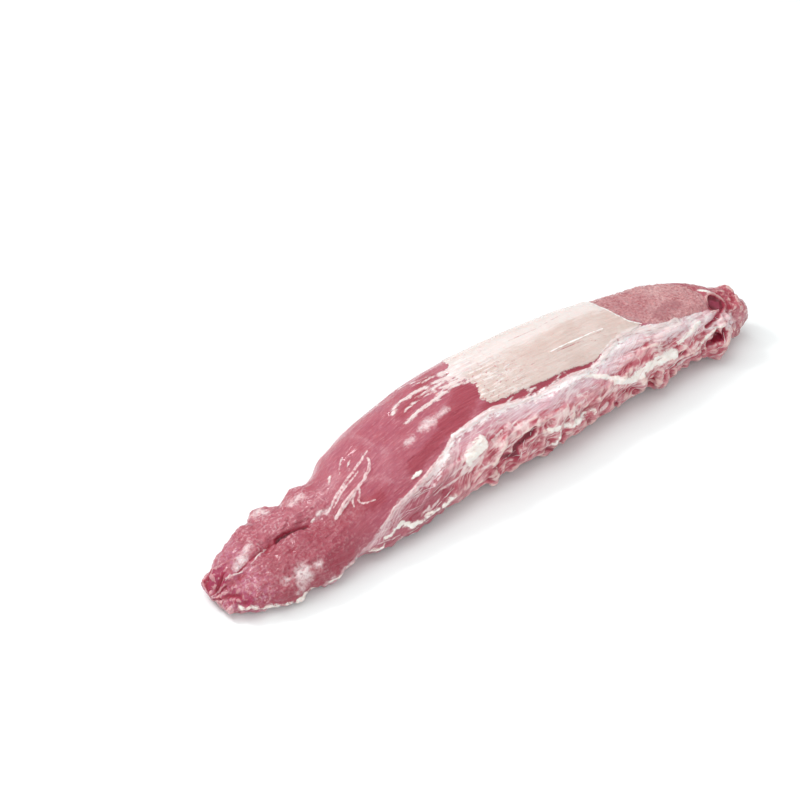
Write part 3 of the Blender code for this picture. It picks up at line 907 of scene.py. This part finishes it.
fibres = pattern(grain, (14, 0.9, 0.9), 4)
bundles = pattern(grain, (30, 3.2, 3.2), 3)
streaks = pattern(grain, (9, 1.2, 1.2), 4, 0.65)
flecks = pattern(grain, (4.5, 1.0, 1.0), 3, 0.6)
strands = pattern(slant, (9, 1.3, 1.0), 3, 0.6)
brushed = pattern(slant, (14, 0.8, 1.0), 3, 0.6)
blotches = pattern(place, (0.022, 0.022, 0.022), 3)
clouds = pattern(place, (0.009, 0.009, 0.009), 3, 0.6)
grains = pattern(place, (0.0014, 0.0014, 0.0014), 2)
specks = pattern(place, (0.0022, 0.0018, 0.0018), 2)
frays = pattern(place, (0.0035, 0.0035, 0.0035), 4, 0.7)
frayed = mixed(-0.5, (frays, 1.0))
tattered = mixed(-0.5, (pattern(grain, (7, 1.6, 1.6), 4, 0.6), 1.0))
cloudy = mixed(-0.5, (clouds, 1.0))
print("nodes in the patterns:", len(tree.nodes))

# %% [markdown]
# The colour is built like a painting, in layers. `edge` says where a layer lies: it turns a
# distance into 0 to 1, and noise frays its border by so many mm. `paint` lays one colour over
# another, as strongly as an amount and every share say, and `layered` lays several in turn.

# %% Find where a layer lies, and paint it


def edge(value, start, end, frays=0.0, tatters=0.0):
    """0 to 1 with soft ends as a value, or a stored distance, goes from start to end."""
    value = masks[value] if isinstance(value, str) else value
    for noise, amount in ((frayed, frays), (tattered, tatters)):
        value = mixed(value, (noise, amount)) if amount else value
    inputs = {"Value": value, "From Min": start, "From Max": end}
    return add(tree, "ShaderNodeMapRange", inputs, interpolation_type="SMOOTHSTEP")


def shared(amount, *shares):
    """An amount times every share."""
    for share in shares:
        amount = add(tree, "ShaderNodeMath", {0: amount, 1: share}, operation="MULTIPLY")
    return amount


def paint(base, shade, amount, *shares):
    """The base colour with a shade laid over it."""
    base, shade = (colour(tone) if isinstance(tone, str) else tone for tone in (base, shade))
    inputs = {0: shared(amount, *shares), 6: base, 7: shade}
    return add(tree, "ShaderNodeMix", inputs, data_type="RGBA").outputs[2]


def layered(base, *layers):
    """The base colour with every layer, a shade and its amounts, laid over it."""
    for layer in layers:
        base = paint(base, *layer)
    return base


# %% [markdown]
# Torn tissue forms a web of thin, winding lines. A line lies wherever noise crosses the middle of
# its range, so two steep edges that meet there draw it.

# %% Webs of tissue in the chain


def web(stretch, width):
    """Winding lines that follow the chain's slant."""
    noise = pattern(slant, stretch, 2)
    return shared(edge(noise, 0.5 - width, 0.5), edge(noise, 0.5 + width, 0.5))


above_lobes = edge("angle", 184, 170)
cream_web = shared(web((20, 5, 1.0), 0.16), edge(blotches, 0.2, 0.6), above_lobes)
cross_web = shared(web((8, 9, 1.0), 0.09), edge(clouds, 0.35, 0.7), above_lobes)
red_web = shared(web((26, 6.5, 1.0), 0.16), edge(clouds, 0.7, 0.3))
print("nodes with the webs:", len(tree.nodes))

# %% [markdown]
# The lean goes from deep rose to pale rose with the fibres. The middle lies under a milky
# membrane that softens everything, but for the deep red places where the membrane is gone.

# %% Paint the lean
bare = edge("bare", -1.5, 2.5, frays=3)
lean = layered(
    paint("99394c", "bb6470", fibres),
    ("a03f4e", 0.5, bundles),
    ("c07883", 0.4, blotches),
    ("944061", 0.3, clouds),
    ("cc8f98", 0.35, edge(flecks, 0.55, 0.85)),
    # Haze: a soft pale film, and round the painted glints a painted sheen.
    ("d3a5ab", 0.5, edge("haze", -2.5, 5, frays=6), edge(streaks, -0.8, 1.0)),
    (paint("8f2a3c", "a94351", fibres), 0.8, bare),
)

# %% [markdown]
# The tail is coarser. Grains of pale tissue stand on deep rose, in patches, and some of the pale
# grains are painted glints. Its back side is painted lighter in patches, a painted sheen, and its
# tip is dark and magenta.

# %% Paint the tail
tail = edge("along", -85, -115)
patches = edge(clouds, 0.25, 0.65)
lean = layered(
    lean,
    ("a04052", 0.45, tail),
    ("d39da3", 0.4, tail, patches, edge(streaks, 0.52, 0.78)),
    ("90304a", 0.5, tail, edge(streaks, 0.42, 0.20)),
    # Pale grains in patches: partly pale tissue, partly painted glints.
    ("e3bcc0", 0.5, tail, patches, edge(grains, 0.5, 0.8)),
    ("983848", 0.65, tail, edge("angle", 96, 130), edge("along", -160, -148)),
    # The back side painted lighter in patches: a painted sheen.
    ("bb6874", 0.4, tail, edge("angle", 92, 72), edge(frays, 0.2, 0.8)),
    ("b56a86", 0.5, edge("along", -146, -158), edge(specks, 0.6, 0.3)),
    ("9c1a48", 0.8, edge("tip", -2.5, 1.5, frays=5)),
    ("eccfca", 0.35, edge("along", -160, -168), edge("crease", -0.06, -0.2)),
    # Painted highlights: white glints on the grains.
    ("f0e2e2", 0.8, edge("painted_glint", -2, 3, frays=4), edge(grains, -0.4, 0.6)),
)
print("nodes with the lean:", len(tree.nodes))

# %% [markdown]
# The chain's folds are coloured by their height. Their crests are edged with cream fascia, their
# flanks are pink and red muscle, and the gaps get a painted shade of dark red.

# %% Paint the chain
in_strap = edge("chain", -0.6, 0.9, frays=2.4, tatters=1.6)
patchy = mixed(0.4, (clouds, 0.8))
fold = mixed(masks["crevice"], (frayed, 0.3), (mixed(-0.5, (bundles, 1.0)), 0.5))
strap = layered(
    paint("e4c4bd", "d2959b", edge(fold, -0.75, -0.35)),
    ("bb5563", edge(fold, -0.30, 0.15)),
    # Painted shade: dark red in the gaps between the folds.
    ("a3243a", edge(fold, 0.22, 0.60)),
    ("e4c0bf", 0.65, edge(strands, 0.50, 0.80)),
    ("ab4453", 0.45, edge(strands, 0.42, 0.18)),
    ("c97f89", 0.3, edge(clouds, 0.35, 0.7)),
    ("8f2238", 0.6, red_web),
    ("a84656", 0.45, edge("along", 120, 138), edge("angle", 132, 146), bundles),
    ("f4e6e1", 0.6, cream_web),
    ("f4e9e4", 0.5, cross_web),
    ("efddd4", 0.5, edge("crease", -0.06, -0.18)),
    ("a94656", 0.42, edge("angle", 174, 186), edge("along", -30, 0.0), patchy),
)

# %% [markdown]
# Above the folds lies a smooth lilac film, with a bright white ridge along its top. Toward the
# head it turns white, partly whiter film and partly a painted highlight. Toward the tail it gives
# way to bare, streaky muscle.

# %% Paint the film and the ridge
film = layered(
    paint("e0c4cc", "c98f99", edge("depth", 4, 13)),
    # Whiter toward the head: partly whiter film, partly a painted highlight.
    ("f6edee", 0.65, edge("along", 52, 85)),
    ("f5ecee", 0.7, edge(brushed, 0.45, 0.85)),
    ("bd8090", 0.4, edge(brushed, 0.42, 0.15)),
    ("ac4d62", 0.7, edge("along", 20, -26), mixed(0.4, (bundles, 0.6))),
    ("b95f74", 0.35, edge(clouds, 0.45, 0.75)),
    ("faf2f1", 0.5, cream_web),
)
ridge = shared(
    edge("depth", 4.6, 2.4, frays=2.6, tatters=4),
    mixed(0.3, (edge("along", -70, -40), 0.7)),
)
strap = layered(
    strap,
    (film, 0.9, edge("depth", 13.5, 6.5, tatters=9), edge("along", -60, -30)),
    (paint("8e2a40", "b96c7a", streaks), 0.9, edge("along", -28, -60)),
    ("dcb4bd", 0.7, edge(brushed, 0.5, 0.8), edge("along", -34, -66), edge("depth", 9, 5)),
    ("fdf4f4", ridge, edge("along", 116, 96), edge(streaks, -1.2, 0.6)),
)
meat = paint(lean, strap, in_strap)
print("nodes with the chain:", len(tree.nodes))

# %% [markdown]
# The cut face shows the ends of the fibres, so it is granular, rose and pale pink. The end beyond
# it was torn: it is redder, with cream on its crests and painted shade in its folds.

# %% Paint the cut face and the torn end
on_face = edge("cut_face", 0.0, 0.7, frays=1.4)
face = layered(
    paint("97404c", "e6b6b3", grains),
    ("dcb6b5", 0.45, clouds),
    ("a04c58", 0.5, blotches),
    ("8f3a48", 0.5, bare),
)
end = layered(
    paint("90263a", "ba5c69", clouds),
    ("e3b1ae", 0.3, edge(grains, 0.45, 0.8)),
    # Painted shade in the folds.
    ("9a2438", edge(fold, 0.1, 0.6)),
    ("efddd4", 0.45, edge("crease", -0.06, -0.18)),
)
meat = layered(
    meat,
    (end, 0.9, edge("along", 141, 149), edge("angle", 160, 124)),
    (end, 0.8, edge("along", 157, 163)),
    (face, on_face),
)

# %% [markdown]
# Silverskin is a sheet of tendon, pearly cream with a fine grain. Toward the tail it is torn to
# fibres with red showing through, and toward the back it is whiter, partly from thicker tissue and
# partly a painted sheen.

# %% Lay the silverskin over it
torn = edge("along", 6, -6)
shredded = edge("along", 42, -4)
loose = mixed(torn, (edge("angle", 36, 16), 2))
ragged = mixed(masks["silverskin"], (shared(loose, tattered), 1.4), (shared(loose, cloudy), 4.5))
on_sheet = shared(edge(ragged, -0.1, 0.6, frays=1.8), edge("angle", 10, 34, tatters=36))
sheet = layered(
    paint("c8afa6", "d8c5bd", pattern(grain, (16, 1.2, 1.2), 4)),
    ("e7dcd7", 0.5, blotches),
    ("c3a69c", 0.3, clouds),
    ("f5f0ed", 0.8, edge(streaks, 0.55, 0.75), shredded),
    ("b36a70", 0.7, edge(specks, 0.72, 0.86), shredded),
    ("bb908b", 0.3, edge(streaks, 0.70, 0.85)),
    # Whiter toward the back: partly thicker tissue, partly a painted sheen.
    ("eee7e5", 0.55, edge("angle", 80, 66, tatters=9), edge("angle", 34, 56)),
)
meat = paint(meat, sheet, on_sheet)
print("nodes with the silverskin:", len(tree.nodes))

# %% [markdown]
# White tissue and fat lie on top of everything, and the painted shade of the crevices, creases
# and hollows comes last, so that it also shows between them.

# %% Add the white tissue and the fat
on_cord = edge("cord", 0.40, 0.0, frays=0.3)
on_white = edge("white", -0.4, 0.8, frays=1.4, tatters=1.8)
on_fat = edge("fat", -0.1, 0.8, frays=1.8, tatters=1.4)
fat_tint = layered(
    paint("ece0d8", "faf6f2", specks),
    ("e6c8bd", 0.5, edge("along", -84, -104), edge(grains, 0.2, 0.8)),
)
meat = layered(
    meat,
    (paint("ddbfc1", "f1e7e3", streaks), 0.85, on_cord, edge(frays, -1.6, 0.6)),
    (paint("d9bfbe", "f5edea", streaks), 0.9, on_white, edge(grains, -0.5, 0.4)),
    ("f8f3f0", edge("seam", -0.15, 0.25, frays=0.5)),
    (fat_tint, on_fat),
)

# %% Paint shade into the crevices, creases and hollows
meat = layered(
    meat,
    # Painted shade: dark red in the deep crevices and the thin creases.
    ("a3243a", 0.7, edge("crevice", 0.35, 0.9, frays=0.3)),
    ("9a2438", 0.45, edge("crease", 0.10, 0.22)),
    # Painted shade along the fine creases, and a painted shadow under the slit's lip.
    ("a9505a", 0.75, edge("line", -0.1, 0.35, frays=0.4)),
    # Painted shade inside the hollows, darkest deep in the tail's cleft.
    ("a02640", edge("hollow", -0.5, 0.8)),
    ("741428", edge("hollow", 0.3, 1.6)),
    ("470b18", 0.8, edge("hollow", 1.4, 2.4), edge("along", -60, -100)),
    ("9c3650", 0.9, edge("hollow", 2, 3.6), edge("along", 100, 140)),
)
print("nodes in the colour:", len(tree.nodes))

# %% [markdown]
# Gloss and bump: the wet film is smooth and clear, so a coat lies over a rougher base. The bump
# adds fibres and grains too fine for the mesh, at their real heights.

# %% Add the fine bump
height = mixed(0.0, (fibres, 0.25), (streaks, 0.5), (frays, 0.4), (flecks, 0.3))
height = mixed(height, (on_sheet, 0.8), (on_white, 0.5), (on_fat, 0.5))
height = mixed(height, (shared(grains, mixed(on_face, (tail, 1.0))), 0.9))
height = mixed(height, (shared(specks, mixed(0.15, (tail, 0.6))), 0.8))
height = mixed(height, (shared(strands, in_strap), 0.5))
bump = add(tree, "ShaderNodeBump", {"Height": height, "Strength": 0.9, "Distance": 0.0004})

# %% Set the gloss and the scattering
rough = add(tree, "ShaderNodeMapRange", {"Value": frays, "To Min": 0.32, "To Max": 0.55})
fill(surface, {
    "Base Color": meat, "Metallic": 0.0, "Roughness": rough, "IOR": 1.38, "Normal": bump,
    "Subsurface Weight": 0.25, "Subsurface Radius": (1.0, 0.35, 0.30), "Subsurface Scale": 0.0025,
    "Coat Weight": 0.7, "Coat IOR": 1.33, "Coat Roughness": 0.12,
})
print("nodes in the finish:", len(tree.nodes))

# %% [markdown]
# ## Fine threads
#
# Torn meat bristles with threads of connective tissue that are thinner than the skin's mesh. They
# lie on top as a piece of their own, made by the same tree as the strands, along the chain's
# film and among its folds.

# %% The threads' material
connective = bpy.data.materials.new("connective tissue, wet")
connective.use_nodes = True
thread_tree = connective.node_tree
place = add(thread_tree, "ShaderNodeTexCoord").outputs["Object"]
tint = add(thread_tree, "ShaderNodeTexNoise", {"Vector": place, "Scale": 180, "Detail": 2})
inputs = {"Value": tint, "From Min": 0.38, "From Max": 0.56}
spread = add(thread_tree, "ShaderNodeMapRange", inputs)
inputs = {0: spread, 6: colour("cf9a9e"), 7: colour("f3e8e4")}
fill(thread_tree.nodes["Principled BSDF"], {
    "Base Color": add(thread_tree, "ShaderNodeMix", inputs, data_type="RGBA").outputs[2],
    "Roughness": 0.4, "Subsurface Weight": 0.3, "Subsurface Radius": (1.0, 0.5, 0.4),
    "Subsurface Scale": 0.002, "Coat Weight": 0.3, "Coat Roughness": 0.2,
})

# %% [markdown]
# The threads lie on the finished skin rather than on the solid, so the rays that lay them are
# now stopped by the skin.

# %% Draw the threads and give them their body
skin_rays = BVHTree.FromObject(skin, bpy.context.evaluated_depsgraph_get())
thread_lines = chain_lines(36, (10, 30), (3, 20), (0.08, 0.18), (-1.0, 2))
thread_lines += chain_lines(54, (6, 20), (20, 64), (0.10, 0.24), (0.0, 9))
thread_sizes = {"Sides": 5, "Wobble": 0.0012, "Seed": 8, "Finish": connective}
threads = new_object("threads", strand_mesh(thread_lines, thread_sizes))
threads.data.shade_smooth()
print("threads:", len(threads.data.polygons), "faces")

# %% [markdown]
# ## The stage
#
# The cut lies on plain white, lit softly from the back left. The camera looks down at 40
# degrees from the tail's side.

# %% Floor
bpy.ops.mesh.primitive_plane_add(size=6, location=(0.0, 0.0, 0.0))
floor = bpy.context.object
floor.name = "floor"
paper = bpy.data.materials.new("white paper, matt")
paper.use_nodes = True
inputs = {"Base Color": colour("f2f6f6"), "Roughness": 0.9, "Specular IOR Level": 0.2}
fill(paper.node_tree.nodes["Principled BSDF"], inputs)
floor.data.materials.append(paper)

# %% Lights
world = bpy.data.worlds.new("studio")
bpy.context.scene.world = world
world.use_nodes = True
fill(world.node_tree.nodes["Background"], {"Color": (1.0, 1.0, 1.0, 1.0), "Strength": 0.62})


def softbox(name, position, size, power):
    """A round light that faces the middle of the cut."""
    data = bpy.data.lights.new(name, "AREA")
    data.shape = "DISK"
    data.size = size
    data.energy = power
    lamp = new_object(name, data)
    lamp.location = position
    lamp.rotation_euler = (-Vector(position)).to_track_quat("-Z", "Y").to_euler()


softbox("overhead", (-0.30, 0.25, 1.30), 1.50, 9)
softbox("key", (-0.45, 0.70, 0.90), 0.25, 4)
softbox("glint", (0.05, 0.95, 0.80), 0.08, 0.7)
softbox("fill", (-0.60, -1.00, 0.90), 0.80, 4.5)

# %% Camera
CAMERA_AZIMUTH = math.radians(-35.648)
CAMERA_ELEVATION = math.radians(40)
CAMERA_DISTANCE = 1.1768
AIM = Vector((-0.0132, 0.0560, 0.0))
toward_camera = Vector((
    math.sin(CAMERA_AZIMUTH) * math.cos(CAMERA_ELEVATION),
    -math.cos(CAMERA_AZIMUTH) * math.cos(CAMERA_ELEVATION),
    math.sin(CAMERA_ELEVATION),
))
camera_data = bpy.data.cameras.new("camera")
camera_data.lens = 100
camera_data.sensor_width = 36
camera = new_object("camera", camera_data)
camera.location = AIM + toward_camera * CAMERA_DISTANCE
camera.rotation_euler = (-toward_camera).to_track_quat("-Z", "Y").to_euler()
bpy.context.scene.camera = camera
bpy.context.scene.view_settings.view_transform = "Standard"
print("camera at:", [round(x, 3) for x in camera.location])

# %% [markdown]
# ## Hand the pieces to the frame
#
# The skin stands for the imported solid, and every piece rides on the one body.

# %% Attach the pieces and compare the sizes
for piece in (skin, threads):
    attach(piece, "root")
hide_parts("tenderloin")
floor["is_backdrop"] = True
visual_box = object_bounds()
growth = [[round((v - c) / MM, 2) for v, c in zip(*pair)] for pair in zip(visual_box, cad_box)]
print("grows beyond the solid, in mm:", growth)
